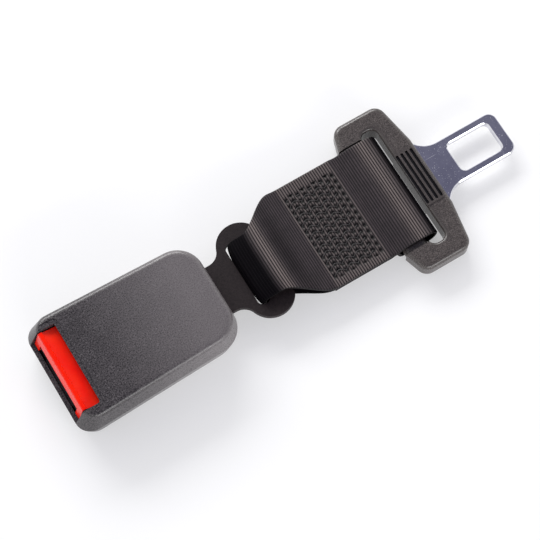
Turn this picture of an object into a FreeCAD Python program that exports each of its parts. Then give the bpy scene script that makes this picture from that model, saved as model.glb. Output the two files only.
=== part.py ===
import FreeCAD
import Part
import math
import os

# Seat belt extender: a push-button buckle, a short stitched strap and a tongue.
# Everything is laid out flat, in millimetres. Stations along X are counted from the
# buckle's front lip, and the whole part is shifted at the end so that the origin lies
# on the ground under the middle of the total length. +X runs from buckle to tongue.

Vector = FreeCAD.Vector

# Buckle covers
buckle_length = 73.5
buckle_front_width = 49.2
buckle_rear_width = 44.4
buckle_height = 20.0
parting_height = 10.0
side_draft = 1.6
front_lean = 4.3
bottom_front_lean = 1.8
rear_lean = 1.4
front_corner_radius = 6.5
rear_corner_radius = 11.0
top_edge_round = 2.6
bottom_edge_round = 3.0
cover_wall = 1.8
cover_ceiling = 1.6
cover_floor = 2.0

# Button opening in the upper cover
opening_length = 11.7
opening_corner = 1.0
opening_web = 1.9
recess_margin = 1.6
recess_side_margin = 2.2
recess_depth = 0.4
recess_corner = 2.4

# Press button
button_width = 35.0
button_side_gap = 0.5
button_travel = 4.5
button_lean = 0.29
button_ridge_width = 1.6
button_ridge_height = 0.65
button_top_gap = 0.75
button_body_length = 14.0
button_leg_width = 3.1
button_leg_length = 6.5
button_arm_width = 2.0
button_arm_thickness = 1.2
button_lug_length = 3.0
button_lug_reach = 1.8

# Tongue channel
slot_clear_height = 4.3
tongue_channel_width = 21.0
guide_rail_width = 2.2
guide_rail_height = 3.3
sill_setback = 2.7
mouth_funnel_length = 6.5

# Steel frame and its eared tail, one stamping
frame_thickness = 2.5
frame_front = 8.0
frame_inner_width = 26.0
frame_side_wall = 2.0
frame_wall_front = 22.0
frame_wall_length = 38.0
frame_wall_height = 9.5
neck_width = 21.2
neck_fillet = 6.0
ear_radius = 9.8
ear_spacing = 22.4
ear_station = 16.8
tail_length = 25.1
tail_corner = 2.0
webbing_slot_start = 10.7
webbing_slot_length = 5.3
webbing_slot_width = 28.6
webbing_slot_corner = 2.4

# Latch, hinged on a pin between the frame's side walls
latch_thickness = 1.6
latch_front = 23.6
latch_pivot_station = 52.0
latch_lift = 0.1187
nose_length = 3.4
nose_width = 11.8
nose_depth = 2.9
latch_lug_station = 38.0
latch_lug_length = 3.0
pivot_pin_radius = 1.5
pivot_head_radius = 2.4
pivot_head_thickness = 0.9
pivot_sleeve_wall = 1.35

# Ejector that pushes the tongue out
ejector_gap = 1.1
ejector_head_length = 5.0
ejector_head_width = 16.8
ejector_keel_length = 4.9
ejector_keel_width = 5.6
ejector_wing_width = 10.0
ejector_wing_thickness = 1.2
ejector_travel = 6.0
ejector_slot_end = 52.0

# Springs
spring_wire = 0.5
ejector_spring_radius = 2.1
button_spring_radius = 1.5
button_spring_length = 10.0
latch_spring_radius = 1.7
spring_turns = 6
latch_spring_turns = 3
spring_steps_per_turn = 8

# Cover supports and locating posts
support_rib_width = 1.6
support_rib_spacing = 19.4
post_station = 58.0
post_spacing = 35.6
post_radius = 2.6
post_pin_radius = 1.5
spring_post_thickness = 2.0

# Webbing
webbing_width = 48.0
webbing_thickness = 1.2
ply_sink = 0.05
gathered_width = 24.8
gather_start = 7.0
gather_length = 16.8
gather_round = 12.0
anchor_loop_radius = 4.1
anchor_loop_flat = 8.6
anchor_loop_slope_length = 14.0
stitched_top = 8.9
stitched_length = 26.0
stitch_box_length = 21.3
stitch_box_width = 39.2
stitch_thread = 0.4
stitch_rows = 7
neck_taper_length = 1.8
strap_bend_each_way = 45.0
strap_bend_gap = 0.3

# Tongue cover, moulded over the tongue plate
bend_to_bar = 2.8
cover_thickness = 9.0
tongue_cover_width = 70.4
tongue_cover_end_length = 21.4
tongue_cover_middle_length = 28.0
tongue_cover_bow = 3.3
tongue_shoulder_width = 49.0
tongue_nose_width = 31.0
tongue_cover_corner = 4.8
tongue_edge_round = 2.2
strap_bar_width = 10.4
strap_bar_thickness = 5.6
strap_slot_width = 7.2
strap_slot_length = 54.4
strap_slot_corner = 3.0
strap_slot_rim = 1.4
webbing_side_gap = 1.3
tongue_loop_radius = 4.2
tongue_loop_height = 9.8
grip_pad_length = 7.9
grip_pad_width = 25.2
grip_pad_rise = 0.35
grip_groove_width = 1.2
grip_groove_depth = 0.9
grip_groove_pitch = 2.15
grip_grooves = 4

# Tongue plate
tongue_thickness = 3.0
blade_length = 35.3
blade_width = 19.4
blade_corner = 3.6
blade_shoulder_radius = 10.0
blade_shoulder_reach = 2.4
plate_width = 65.2
plate_margin = 1.6
window_length = 19.6
window_width = 13.4
window_corner = 2.2
tip_bar = 4.6
blade_edge_bevel = 0.4

# Clearances
fit_gap = 0.1
running_gap = 0.3
pin_clearance = 0.05

# Heights that follow from the sizes above
plate_top = parting_height - 0.2
plate_bottom = plate_top - frame_thickness
button_underside = plate_top + slot_clear_height
latch_underside = plate_top + fit_gap + tongue_thickness + 0.2
latch_top = latch_underside + latch_thickness
ceiling_height = buckle_height - cover_ceiling
arm_bottom = plate_top + fit_gap + guide_rail_height + fit_gap + 0.1
arm_top = arm_bottom + button_arm_thickness
lug_underside = arm_top + running_gap
pivot_height = latch_top - 0.1
frame_outer = frame_inner_width / 2 + frame_side_wall
opening_half = button_width / 2 + button_side_gap
button_front = front_lean * (button_underside - parting_height) / (buckle_height - parting_height) + 1.1
button_rear = button_front + button_body_length

# Stations that follow from the sizes above
tail_start = buckle_length
ear_x = tail_start + ear_station
tail_end = tail_start + tail_length
webbing_slot_x = tail_start + webbing_slot_start
anchor_bar_x = webbing_slot_x + webbing_slot_length
bar_height = plate_bottom + frame_thickness / 2
fold_x = anchor_bar_x
loop_flat_end = fold_x + anchor_loop_flat + 1.0
stitched_start = loop_flat_end + anchor_loop_slope_length
stitched_end = stitched_start + stitched_length
bend_x = stitched_end + neck_taper_length + 0.4
ply_pitch = webbing_thickness - ply_sink
stitched_bottom = stitched_top - webbing_thickness - 2 * ply_pitch
bend_height = stitched_top - webbing_thickness / 2 - ply_pitch
tongue_mid = cover_thickness / 2 + grip_pad_rise
cover_bottom = tongue_mid - cover_thickness / 2
cover_top = tongue_mid + cover_thickness / 2
bar_left = bend_x + bend_to_bar + 0.5
bar_right = bar_left + strap_bar_width
slot_right = bar_right + strap_slot_width
cover_nose = bend_x + bend_to_bar + tongue_cover_middle_length
blade_tip = cover_nose + blade_length
total_length = blade_tip


def box(x0, x1, y0, y1, z0, z1):
    return Part.makeBox(x1 - x0, y1 - y0, z1 - z0, Vector(x0, y0, z0))


def centred_box(x0, x1, width, z0, z1):
    return box(x0, x1, -width / 2, width / 2, z0, z1)


def mirrored(shape):
    return shape.mirror(Vector(0, 0, 0), Vector(0, 1, 0))


def with_mirror(shape):
    return shape.fuse(mirrored(shape))


def clean(shape):
    """One tidy solid, with faces that lie in one surface joined."""
    tidy = shape.removeSplitter()
    if len(tidy.Solids) == 1:
        return tidy.Solids[0]
    return tidy


def arc_edge(start, end, centre):
    """The short arc from start to end about centre."""
    radius = (start - centre).Length
    middle = (start - centre) + (end - centre)
    middle.normalize()
    return Part.Arc(start, centre + middle * radius, end).toShape()


def rounded_wire(corners, place):
    """A closed wire through corners (a, b, radius); place turns (a, b) into a point."""
    arcs = []
    count = len(corners)
    for i in range(count):
        before = Vector(corners[i - 1][0], corners[i - 1][1], 0)
        here = Vector(corners[i][0], corners[i][1], 0)
        after = Vector(corners[(i + 1) % count][0], corners[(i + 1) % count][1], 0)
        radius = corners[i][2]
        back = (before - here).normalize()
        ahead = (after - here).normalize()
        opening = back.getAngle(ahead)
        if radius <= 0 or math.pi - opening < 1e-6:
            arcs.append((here, None, here))
            continue
        reach = radius / math.tan(opening / 2)
        inward = (back + ahead).normalize()
        centre = here + inward * (radius / math.sin(opening / 2))
        arcs.append((here + back * reach, centre, here + ahead * reach))
    edges = []
    for i in range(count):
        start, centre, end = arcs[i]
        following = arcs[(i + 1) % count][0]
        if centre is not None:
            a, b, c = (place(p.x, p.y) for p in (start, end, centre))
            edges.append(arc_edge(a, b, c))
        if (following - end).Length > 1e-4:
            line = Part.LineSegment(place(end.x, end.y), place(following.x, following.y))
            edges.append(line.toShape())
    return Part.Wire(edges)


def plan_solid(corners, z0, z1):
    """A prism whose plan is the rounded outline."""
    wire = rounded_wire(corners, lambda a, b: Vector(a, b, z0))
    return Part.Face(wire).extrude(Vector(0, 0, z1 - z0))


def side_solid(corners, width, middle=0.0):
    """A prism whose side view (x, z) is the rounded outline, width wide along Y."""
    low = middle - width / 2
    wire = rounded_wire(corners, lambda a, b: Vector(a, low, b))
    return Part.Face(wire).extrude(Vector(0, width, 0))


def rounded_slot(x0, x1, width, corner, z0, z1):
    half = width / 2
    corners = [(x0, -half, corner), (x1, -half, corner), (x1, half, corner), (x0, half, corner)]
    return plan_solid(corners, z0, z1)


def symmetric(half_outline):
    """Closes a half outline, given from front to rear on the +Y side, by its mirror image."""
    return half_outline + [(x, -y, r) for x, y, r in reversed(half_outline)]


def edges_at_height(shape, z):
    tolerance = 1e-3
    return [
        edge
        for edge in shape.Edges
        if abs(edge.BoundBox.ZMin - z) < tolerance and abs(edge.BoundBox.ZMax - z) < tolerance
    ]


def strip_corners(path, thickness):
    """The outline of a band of even thickness along a path of (x, z, radius) points."""
    points = [Vector(x, z, 0) for x, z, _ in path]
    runs = [(b - a).normalize() for a, b in zip(points, points[1:])]
    sides = []
    for side in (thickness / 2, -thickness / 2):
        row = []
        for i, point in enumerate(points):
            before = runs[max(i - 1, 0)]
            after = runs[min(i, len(runs) - 1)]
            normal = Vector(-before.y, before.x, 0) + Vector(-after.y, after.x, 0)
            scale = side * 2 / normal.dot(normal)
            turn = before.x * after.y - before.y * after.x
            radius = path[i][2]
            if radius > 0:
                radius = radius - math.copysign(side, side * turn)
            moved = point + normal * scale
            row.append((moved.x, moved.y, radius))
        sides.append(row)
    return sides[0] + sides[1][::-1]


def coil_spring(length, radius, turns):
    """A spring standing on z = 0, its six-sided wire drawn round in short straight runs."""
    steps = round(turns * spring_steps_per_turn)
    low = spring_wire / 2
    points = []
    for i in range(steps + 1):
        angle = 2 * math.pi * i / spring_steps_per_turn
        height = low + (length - spring_wire) * i / steps
        points.append(Vector(radius * math.cos(angle), radius * math.sin(angle), height))
    run = (points[1] - points[0]).normalize()
    outward = (Vector(1, 0, 0) - run * run.x).normalize()
    across = run.cross(outward)
    profile = []
    for i in range(7):
        angle = math.radians(60 * i + 30)
        profile.append(points[0] + outward * (low * math.cos(angle)) + across * (low * math.sin(angle)))
    right_corners = 1
    path = Part.makePolygon(points)
    return path.makePipeShell([Part.makePolygon(profile)], True, False, right_corners)


def spring_along_x(x0, x1, y, z, radius):
    coil = coil_spring(x1 - x0, radius, spring_turns)
    coil.rotate(Vector(0, 0, 0), Vector(0, 1, 0), 90)
    coil.translate(Vector(x0, y, z))
    return coil


# Covers

def cover_lean(z):
    """0 at the parting plane, 1 at the top and at the bottom."""
    if z >= parting_height:
        return (z - parting_height) / (buckle_height - parting_height)
    return (parting_height - z) / parting_height


def cover_half_width(x, z):
    taper = (buckle_front_width - buckle_rear_width) / 2 / buckle_length
    return buckle_front_width / 2 - taper * x - side_draft * cover_lean(z)


def cover_outline(z, inset):
    """The buckle's outline at a height, moved inwards by inset."""
    lean = cover_lean(z)
    front = (front_lean if z >= parting_height else bottom_front_lean) * lean + inset
    rear = buckle_length - rear_lean * lean - inset
    half = [
        (front, cover_half_width(front, z) - inset, front_corner_radius - inset),
        (rear, cover_half_width(rear, z) - inset, rear_corner_radius - inset),
    ]
    return rounded_wire(symmetric(half), lambda a, b: Vector(a, b, z))


def cover_form(z0, z1, inset):
    return Part.makeLoft([cover_outline(z0, inset), cover_outline(z1, inset)], True, True)


def upper_cover():
    form = cover_form(parting_height, buckle_height, 0)
    form = form.makeFillet(top_edge_round, edges_at_height(form, buckle_height))
    bay_rear = opening_length + opening_web
    hollow = cover_form(parting_height, ceiling_height, cover_wall)
    hollow = hollow.common(box(bay_rear, buckle_length, -buckle_front_width, buckle_front_width,
                               parting_height, ceiling_height))
    bay = box(-1, bay_rear, -opening_half, opening_half, parting_height, ceiling_height)
    opening = rounded_slot(-opening_length, opening_length, 2 * opening_half, opening_corner,
                           ceiling_height, buckle_height + 1)
    recess = rounded_slot(-opening_length, opening_length + recess_margin,
                          2 * (opening_half + recess_side_margin), recess_corner,
                          buckle_height - recess_depth, buckle_height + 1)
    form = form.cut(hollow).cut(bay).cut(opening).cut(recess)
    for side in (-1, 1):
        form = form.fuse(upper_post(side * post_spacing / 2))
    spigot = Part.makeCylinder(latch_spring_radius - spring_wire / 2 - running_gap,
                               ceiling_height - latch_top - latch_spring_travel() - 2 * running_gap,
                               Vector(latch_spring_x(), 0, ceiling_height), Vector(0, 0, -1))
    return clean(form.fuse(spigot).cut(tail_exit()))


def upper_post(y):
    """A pin under the ceiling, thick above and slim where it enters the lower cover's post."""
    shoulder = parting_height + 2.0
    boss = Part.makeCylinder(post_radius, ceiling_height - shoulder + 0.2,
                             Vector(post_station, y, shoulder))
    pin = Part.makeCylinder(post_pin_radius, shoulder - parting_height + 3.2,
                            Vector(post_station, y, parting_height - 3.0))
    return boss.fuse(pin)


def lower_post(y):
    top = parting_height + 2.0 - running_gap
    boss = Part.makeCylinder(post_radius, top - cover_floor + 0.2,
                             Vector(post_station, y, cover_floor - 0.2))
    bore = Part.makeCylinder(post_pin_radius + pin_clearance, top,
                             Vector(post_station, y, parting_height - 3.4))
    return boss, bore


def tail_exit():
    """The window in the rear wall that the frame's tail passes through."""
    return centred_box(buckle_length - 3 * cover_wall, buckle_length + 1, neck_width + 2 * running_gap,
                       plate_bottom - fit_gap, plate_top + fit_gap + 0.2)


def lower_cover():
    form = cover_form(0, parting_height, 0)
    form = form.makeFillet(bottom_edge_round, edges_at_height(form, 0))
    form = form.cut(cover_form(cover_floor, parting_height, cover_wall))
    mouth = centred_box(-1, cover_wall + 1, 2 * (opening_half - button_leg_width),
                        plate_top, parting_height + 1)
    form = form.cut(mouth)
    rib_height = plate_bottom - fit_gap
    for side in (-1, 1):
        y = side * support_rib_spacing / 2
        rib = box(frame_front + 1, buckle_length - 3 * cover_wall, y - support_rib_width / 2,
                  y + support_rib_width / 2, cover_floor - 0.2, rib_height)
        form = form.fuse(rib)
        form = form.fuse(spring_post(side))
        boss, bore = lower_post(side * post_spacing / 2)
        form = form.fuse(boss).cut(bore)
    sill_rest = centred_box(cover_wall - 0.2, frame_front, tongue_channel_width, cover_floor - 0.2,
                            plate_bottom - fit_gap)
    return clean(form.fuse(sill_rest).cut(tail_exit()))


def spring_post(side):
    """An upright plate behind the button spring."""
    x = button_rear + fit_gap + button_spring_length + fit_gap
    top = arm_top + 1.0
    inner = frame_outer + running_gap
    outer = cover_half_width(x + spring_post_thickness, top) - cover_wall - running_gap
    low, high = sorted((side * inner, side * outer))
    return box(x, x + spring_post_thickness, low, high, cover_floor - 0.2, top)


# Button

def button_face_x(z):
    """The sloping front face of the button."""
    return button_front + button_lean * (z - button_underside)


def press_button():
    top = buckle_height - button_top_gap
    front_top = button_face_x(top)
    ridge_end = front_top + button_ridge_width
    dip = top - button_ridge_height
    tail_top = ceiling_height - 4 * running_gap
    slope_middle = (ridge_end + opening_length) / 2
    block = side_solid([
        (button_face_x(button_underside), button_underside, 0.4),
        (front_top, top, 0.8),
        (ridge_end, top, 0.35),
        (ridge_end + 0.15, dip, 0.2),
        (slope_middle, (dip + tail_top) / 2 - 0.25, 12.0),
        (button_rear, tail_top - 0.2, 0.5),
        (button_rear, button_underside, 0.3),
    ], button_width)
    leg_bottom = plate_top + running_gap + 0.1
    leg_rear = button_face_x(leg_bottom) + button_leg_length
    parts = []
    for side in (-1, 1):
        leg = side_solid([
            (button_face_x(leg_bottom), leg_bottom, 0.4),
            (button_face_x(button_underside + 1), button_underside + 1, 0),
            (leg_rear, button_underside + 1, 0),
            (leg_rear, leg_bottom, 0.6),
        ], button_leg_width, side * (button_width - button_leg_width) / 2)
        parts.append(leg)
        inner = side * (button_width / 2 - button_leg_width)
        outer = side * (button_width / 2 + button_lug_reach)
        low, high = sorted((inner, outer))
        parts.append(box(button_rear - button_lug_length, button_rear, low, high,
                         leg_bottom, tail_top - 0.4))
        parts.append(button_arm(side))
    return clean(block.multiFuse(parts))


def ramp_rise():
    return (latch_pivot_station - latch_lug_station) * math.tan(latch_lift)


def button_arm(side):
    """The long arm whose ramp lifts the latch by its lugs."""
    middle = side * (tongue_channel_width / 2 + fit_gap + button_arm_width / 2)
    ramp_foot = latch_lug_station
    ramp_head = ramp_foot - button_travel
    high = arm_top + ramp_rise()
    return side_solid([
        (button_rear - 1, arm_bottom, 0),
        (button_rear - 1, high, 0),
        (ramp_head, high, 0),
        (ramp_foot, arm_top, 0),
        (ramp_foot + latch_lug_length + 1, arm_top, 0.5),
        (ramp_foot + latch_lug_length + 1, arm_bottom, 0.5),
    ], button_arm_width, middle)


def button_spring(side):
    x0 = button_rear + fit_gap
    y = side * (frame_outer + running_gap + button_spring_radius + spring_wire / 2)
    z = arm_bottom + 0.2
    return spring_along_x(x0, x0 + button_spring_length, y, z, button_spring_radius)


# Frame

def frame_outline():
    """Plan of the base plate, its neck and the two round ears of the tail."""
    wide = frame_outer
    neck = neck_width / 2
    ear_y = ear_spacing / 2
    fillet_y = neck + neck_fillet
    reach = neck_fillet + ear_radius
    fillet_x = ear_x - math.sqrt(reach ** 2 - (fillet_y - ear_y) ** 2)
    ear = Vector(ear_x, ear_y, 0)
    fillet = Vector(fillet_x, fillet_y, 0)
    meet = fillet + (ear - fillet) * (neck_fillet / reach)
    corner = Vector(tail_end, ear_y + math.sqrt(ear_radius ** 2 - (tail_end - ear_x) ** 2), 0)
    shoulder = buckle_length - 2 * cover_wall - 3.0
    half = [
        Vector(frame_front, wide, 0),
        Vector(shoulder - (wide - neck), wide, 0),
        Vector(shoulder, neck, 0),
        Vector(fillet_x, neck, 0),
    ]
    edges = [Part.LineSegment(a, b).toShape() for a, b in zip(half, half[1:])]
    edges.append(arc_edge(half[-1], meet, fillet))
    edges.append(arc_edge(meet, corner, ear))
    other = [mirrored(edge) for edge in reversed(edges)]
    flip = Vector(corner.x, -corner.y, 0)
    start = Vector(frame_front, -wide, 0)
    edges.append(Part.LineSegment(corner, flip).toShape())
    edges.extend(other)
    edges.append(Part.LineSegment(start, half[0]).toShape())
    return Part.Wire(Part.__sortEdges__(edges))


def buckle_frame():
    wire = frame_outline()
    wire.translate(Vector(0, 0, plate_bottom))
    plate = Part.Face(wire).extrude(Vector(0, 0, frame_thickness))
    corners = [
        edge
        for edge in plate.Edges
        if edge.BoundBox.ZLength > frame_thickness / 2 and abs(edge.BoundBox.XMin - tail_end) < 1e-3
    ]
    plate = plate.makeFillet(tail_corner, corners)
    slot = rounded_slot(webbing_slot_x, anchor_bar_x, webbing_slot_width, webbing_slot_corner,
                        plate_bottom - 1, plate_top + 1)
    plate = plate.cut(slot)
    nose_hole = rounded_slot(latch_front - 0.8, latch_front + nose_length + 1.6, nose_width + 2.0,
                             0.8, plate_bottom - 1, plate_top + 1)
    keel_slot = rounded_slot(ejector_keel_x() - running_gap, ejector_slot_end,
                             ejector_keel_width + 2 * running_gap, running_gap,
                             plate_bottom - 1, plate_top + 1)
    plate = plate.cut(nose_hole).cut(keel_slot)
    prong = centred_box(ejector_slot_end - 3.0, ejector_slot_end + 1, 2.0, plate_bottom, plate_top)
    plate = plate.fuse(prong)
    for side in (-1, 1):
        low, high = sorted((side * frame_inner_width / 2, side * frame_outer))
        wall = box(frame_wall_front, frame_wall_front + frame_wall_length, low, high,
                   plate_bottom, plate_bottom + frame_wall_height)
        plate = plate.fuse(wall)
    bore = Part.makeCylinder(pivot_pin_radius + pin_clearance, 4 * frame_outer,
                             Vector(latch_pivot_station, -2 * frame_outer, pivot_height),
                             Vector(0, 1, 0))
    return clean(plate.cut(bore))


def latch_pivot_pin():
    half = frame_outer + fit_gap
    pin = Part.makeCylinder(pivot_pin_radius, 2 * half,
                            Vector(latch_pivot_station, -half, pivot_height), Vector(0, 1, 0))
    for side in (-1, 1):
        head = Part.makeCylinder(pivot_head_radius, pivot_head_thickness,
                                 Vector(latch_pivot_station, side * half, pivot_height),
                                 Vector(0, side, 0))
        pin = pin.fuse(head)
    return clean(pin)


def tongue_guide():
    """A plastic sill in front of the frame, with two rails that line the channel."""
    inner = tongue_channel_width / 2
    outer = inner + guide_rail_width
    mouth = button_width / 2 - button_leg_width - running_gap
    front = sill_setback
    rail_end = ejector_keel_x() + ejector_keel_length + ejector_travel
    rail = plan_solid([
        (front, mouth - 0.6, 0),
        (front + mouth_funnel_length, inner, 2.0),
        (rail_end, inner, 0),
        (rail_end, outer, 0.6),
        (frame_front, outer, 0),
        (frame_front, mouth, 0),
        (front, mouth, 0),
    ], plate_top + fit_gap, plate_top + fit_gap + guide_rail_height)
    back = frame_front - running_gap
    sill = centred_box(front, back, 2 * mouth, plate_bottom, plate_top)
    bridge = centred_box(front, back, 2 * mouth, plate_top - 0.2, plate_top + 2 * fit_gap)
    cheeks = bridge.cut(centred_box(front - 1, frame_front, 2 * inner, plate_top - 1,
                                    plate_top + 1))
    return clean(sill.multiFuse([cheeks, rail, mirrored(rail)]))


# Latch

def latch_plate():
    half = tongue_channel_width / 2 - running_gap
    plate = centred_box(latch_front, latch_pivot_station, 2 * half, latch_underside, latch_top)
    nose_bottom = latch_underside - nose_depth
    nose = side_solid([
        (latch_front + 0.4, latch_underside + 0.2, 0),
        (latch_front + 0.4, latch_underside - 0.5, 0.3),
        (latch_front + 0.4 + nose_length * 0.7, nose_bottom, 0.3),
        (latch_front + 0.4 + nose_length, nose_bottom, 0.3),
        (latch_front + 0.4 + nose_length, latch_underside + 0.2, 0),
    ], nose_width)
    outer = half + button_arm_width + running_gap
    parts = [nose]
    for side in (-1, 1):
        riser_low, riser_high = sorted((side * (half - 1.2), side * half))
        lug_low, lug_high = sorted((side * (half - 1.2), side * outer))
        parts.append(box(latch_lug_station, latch_lug_station + latch_lug_length,
                         riser_low, riser_high, latch_underside, lug_underside + 1.2))
        parts.append(box(latch_lug_station, latch_lug_station + latch_lug_length,
                         lug_low, lug_high, lug_underside, lug_underside + 1.2))
    sleeve = Part.makeCylinder(pivot_pin_radius + pin_clearance + pivot_sleeve_wall, 2 * half,
                               Vector(latch_pivot_station, -half, pivot_height), Vector(0, 1, 0))
    bore = Part.makeCylinder(pivot_pin_radius + pin_clearance, 4 * half,
                             Vector(latch_pivot_station, -2 * half, pivot_height), Vector(0, 1, 0))
    return clean(plate.fuse(sleeve).multiFuse(parts).cut(bore))


def latch_spring_x():
    return latch_pivot_station - 8.0


def latch_spring_travel():
    return (latch_pivot_station - latch_spring_x()) * math.tan(latch_lift)


def latch_spring():
    length = ceiling_height - latch_top - 2 * fit_gap
    coil = coil_spring(length, latch_spring_radius, latch_spring_turns)
    coil.translate(Vector(latch_spring_x(), 0, latch_top + fit_gap))
    return coil


# Ejector

def ejector_x():
    return latch_front + 0.4 + nose_length + ejector_gap


def ejector_keel_x():
    return ejector_x() + ejector_head_length - 2.0


def ejector():
    head_bottom = plate_top + running_gap
    head_top = latch_underside - running_gap
    head = rounded_slot(ejector_x(), ejector_x() + ejector_head_length, ejector_head_width, 0.8,
                        head_bottom, head_top)
    keel_x = ejector_keel_x()
    keel_end = keel_x + ejector_keel_length
    wing_top = plate_bottom - running_gap
    keel = centred_box(keel_x, keel_end, ejector_keel_width, wing_top - 0.2, head_bottom + 1)
    wing = centred_box(keel_x, keel_end, ejector_wing_width, wing_top - ejector_wing_thickness,
                       wing_top)
    spigot = Part.makeCylinder(ejector_spring_radius - spring_wire / 2 - running_gap, 2.4,
                               Vector(keel_end - 0.2, 0, bar_height), Vector(1, 0, 0))
    return clean(head.multiFuse([keel, wing, spigot]))


def ejector_spring():
    x0 = ejector_keel_x() + ejector_keel_length + fit_gap
    return spring_along_x(x0, ejector_slot_end - fit_gap, 0, bar_height, ejector_spring_radius)


# Strap

def strap_plan():
    """Plan of the webbing: gathered to pass the frame's slot, full width at the stitching."""
    narrow = gathered_width / 2
    wide = webbing_width / 2
    start = fold_x - anchor_loop_radius - webbing_thickness
    gather = fold_x - anchor_loop_radius + gather_start
    half = [
        (start, narrow, 0),
        (gather, narrow, gather_round),
        (gather + gather_length, wide, gather_round),
        (bend_x + webbing_width, wide, 0),
    ]
    return plan_solid(symmetric(half), -1, buckle_height + 1)


def webbing():
    """The sewn strap with its loop round the frame's tail, in one closed solid."""
    top = stitched_top - webbing_thickness / 2
    middle = top - ply_pitch
    low = middle - ply_pitch
    loop_top = bar_height + anchor_loop_radius
    loop_bottom = bar_height - anchor_loop_radius
    fold_left = fold_x - anchor_loop_radius
    neck_top = bend_height + ply_pitch / 2
    neck_low = bend_height - ply_pitch / 2
    loop = side_solid(strip_corners([
        (stitched_end, middle, 0),
        (stitched_start, middle, 8.0),
        (loop_flat_end, loop_bottom, 8.0),
        (fold_left, loop_bottom, anchor_loop_radius - 0.02),
        (fold_left, loop_top, anchor_loop_radius - 0.02),
        (fold_x + 2.0, loop_top, 0),
    ], webbing_thickness), webbing_width)
    upper = side_solid(strip_corners([
        (fold_x + 2.0, loop_top, 0),
        (loop_flat_end, loop_top, 8.0),
        (stitched_start, top, 12.0),
        (stitched_end, top, 1.5),
        (stitched_end + neck_taper_length, neck_top, 1.5),
        (bend_x + 1, neck_top, 0),
    ], webbing_thickness), webbing_width)
    under = side_solid(strip_corners([
        (stitched_start, low, 0),
        (stitched_end, low, 1.5),
        (stitched_end + neck_taper_length, neck_low, 1.5),
        (bend_x + 1, neck_low, 0),
    ], webbing_thickness), webbing_width)
    strap = loop.multiFuse([upper, under]).common(strap_plan())
    return clean(strap.cut(bend_wedge(1)))


def bend_wedge(direction):
    """What is cut off at the bend line, so that the two cloth ends can fold on each other."""
    half_gap = strap_bend_gap / 2
    tall = 4 * webbing_thickness
    lean = tall * math.tan(math.radians(strap_bend_each_way / 2))
    reach = bend_x + direction * 3 * webbing_thickness
    start = bend_x - direction * half_gap
    corners = [
        (start, bend_height, 0),
        (start - direction * lean, bend_height + tall, 0),
        (reach, bend_height + tall, 0),
        (reach, bend_height - tall, 0),
        (start - direction * lean, bend_height - tall, 0),
    ]
    return side_solid(corners, 2 * webbing_width)


def webbing_tongue_loop():
    """The end of the strap, looped round the bar of the tongue's cover."""
    neck_top = bend_height + ply_pitch / 2
    neck_low = bend_height - ply_pitch / 2
    top = tongue_loop_height - webbing_thickness / 2
    low = top - 2 * tongue_loop_radius
    fold = bar_right + 2.1
    middle_x = (bar_left + bar_right) / 2
    upper = side_solid(strip_corners([
        (bend_x - 1, neck_top, 0),
        (bend_x + 1.2, neck_top, 1.5),
        (bar_left + 3.0, top, 2.0),
        (middle_x, top, 0),
    ], webbing_thickness), webbing_width)
    lower = side_solid(strip_corners([
        (middle_x, top, 0),
        (fold, top, tongue_loop_radius - 0.02),
        (fold, low, tongue_loop_radius - 0.02),
        (bar_left - 0.4, low, 2.2),
        (bend_x + 0.8, neck_low, 1.0),
        (bend_x - 1, neck_low, 0),
    ], webbing_thickness), webbing_width)
    return clean(upper.fuse(lower).cut(bend_wedge(-1)))


def stitch_lines(height):
    """A box seam and the rows across it, lying on the cloth."""
    x0 = stitched_start + (stitched_length - stitch_box_length) / 2
    x1 = x0 + stitch_box_length
    half = stitch_box_width / 2
    thread = stitch_thread
    bars = []
    for row in range(stitch_rows + 2):
        x = x0 + (x1 - x0) * row / (stitch_rows + 1)
        bars.append(box(x - thread / 2, x + thread / 2, -half, half, height, height + thread))
    for side in (-1, 1):
        y = side * half
        bars.append(box(x0 - thread / 2, x1 + thread / 2, y - thread / 2, y + thread / 2,
                        height, height + thread))
    return clean(bars[0].multiFuse(bars[1:]))


def needle_thread():
    return stitch_lines(stitched_top)


def bobbin_thread():
    return stitch_lines(stitched_bottom - stitch_thread)


# Tongue

def cover_plan():
    left = bend_x + bend_to_bar
    half = [
        (left, tongue_shoulder_width / 2, 6.0),
        (left + tongue_cover_bow, tongue_cover_width / 2, tongue_cover_corner),
        (left + tongue_cover_bow + tongue_cover_end_length, tongue_cover_width / 2,
         tongue_cover_corner),
        (cover_nose, tongue_nose_width / 2, 3.0),
    ]
    return plan_solid(symmetric(half), cover_bottom, cover_top)


def cover_rims(form):
    return edges_at_height(form, cover_bottom) + edges_at_height(form, cover_top)


def tongue_overmould():
    form = cover_plan()
    form = form.makeFillet(tongue_edge_round, cover_rims(form))
    slot = rounded_slot(bar_right, slot_right, strap_slot_length, strap_slot_corner,
                        cover_bottom - 1, cover_top + 1)
    form = form.cut(slot)
    rims = []
    for edge in cover_rims(form):
        bounds = edge.BoundBox
        if bounds.XMin > bar_right - 0.01 and bounds.XMax < slot_right + 0.01:
            rims.append(edge)
    form = form.makeFillet(strap_slot_rim, rims)
    cut_width = webbing_width + 2 * webbing_side_gap
    reach = box(bar_left - 4, bar_right + 0.01, -cut_width / 2, cut_width / 2,
                cover_bottom - 1, cover_top + 1)
    half = strap_bar_thickness / 2
    round_off = 0.96 * half
    bar = side_solid([
        (bar_left, tongue_mid - half, round_off),
        (bar_right, tongue_mid - half, round_off),
        (bar_right, tongue_mid + half, round_off),
        (bar_left, tongue_mid + half, round_off),
    ], cut_width + 1.0)
    form = form.cut(reach).fuse(bar)
    for face in (1, -1):
        form = form.fuse(grip_pad(face))
        form = form.cut(grip_grooves_shape(face))
    return clean(form.cut(tongue_plate()))


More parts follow.
